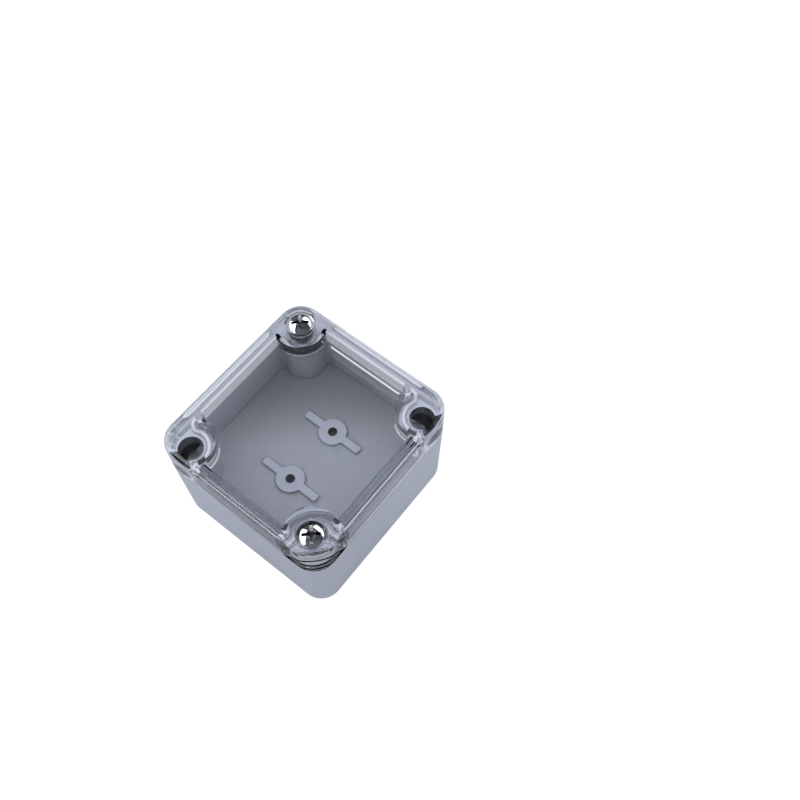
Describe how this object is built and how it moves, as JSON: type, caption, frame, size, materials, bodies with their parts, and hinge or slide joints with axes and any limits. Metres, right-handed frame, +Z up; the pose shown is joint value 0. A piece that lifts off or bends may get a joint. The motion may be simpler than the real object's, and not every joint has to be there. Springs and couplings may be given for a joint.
{
  "type": "plastic enclosure",
  "caption": "Small sealed electronics box with a clear screw-down lid, corner wall-mounting holes and board standoffs.",
  "frame": {"origin": "centre of the underside of the base", "axes": "+X along the longer side, +Y along the shorter side, +Z up through the lid"},
  "size_m": [0.052, 0.05, 0.035],
  "materials": {
    "housing_plastic": "satin moulded light grey",
    "clear_plastic": "polished clear",
    "gasket_foam": "soft pale grey",
    "natural_nylon": "smooth milky white",
    "plated_steel": "bright plated",
    "plated_brass": "nickel-plated, knurled"
  },
  "bodies": {
    "base": {"base_housing": "housing_plastic", "threaded_insert_rear": "plated_brass", "threaded_insert_front": "plated_brass"},
    "lid": {"clear_lid": "clear_plastic", "lid_gasket": "gasket_foam"},
    "ring_rear": {"screw_ring_rear": "natural_nylon"},
    "screw_rear": {"lid_screw_rear": "plated_steel"},
    "ring_front": {"screw_ring_front": "natural_nylon"},
    "screw_front": {"lid_screw_front": "plated_steel"}
  },
  "joints": [
    {"name": "lid_lift", "type": "slide", "parent": "base", "child": "lid", "axis": [0, 0, 1], "range_m": [0, 0.04]},
    {"name": "screw_rise_rear", "type": "slide", "parent": "lid", "child": "ring_rear", "axis": [0, 0, 1], "range_m": [0, 0.007]},
    {"name": "screw_turn_rear", "type": "hinge", "parent": "ring_rear", "child": "screw_rear", "pos_m": [0.0205, 0.0195, 0.024], "axis": [0, 0, 1], "range_deg": [0, 3600]},
    {"name": "screw_rise_front", "type": "slide", "parent": "lid", "child": "ring_front", "axis": [0, 0, 1], "range_m": [0, 0.007]},
    {"name": "screw_turn_front", "type": "hinge", "parent": "ring_front", "child": "screw_front", "pos_m": [-0.0205, -0.0195, 0.024], "axis": [0, 0, 1], "range_deg": [0, 3600]}
  ],
  "couplings": [
    {"joint": "screw_turn_rear", "follows": "screw_rise_rear", "rad_per_m": 8976},
    {"joint": "screw_turn_front", "follows": "screw_rise_front", "rad_per_m": 8976}
  ]
}
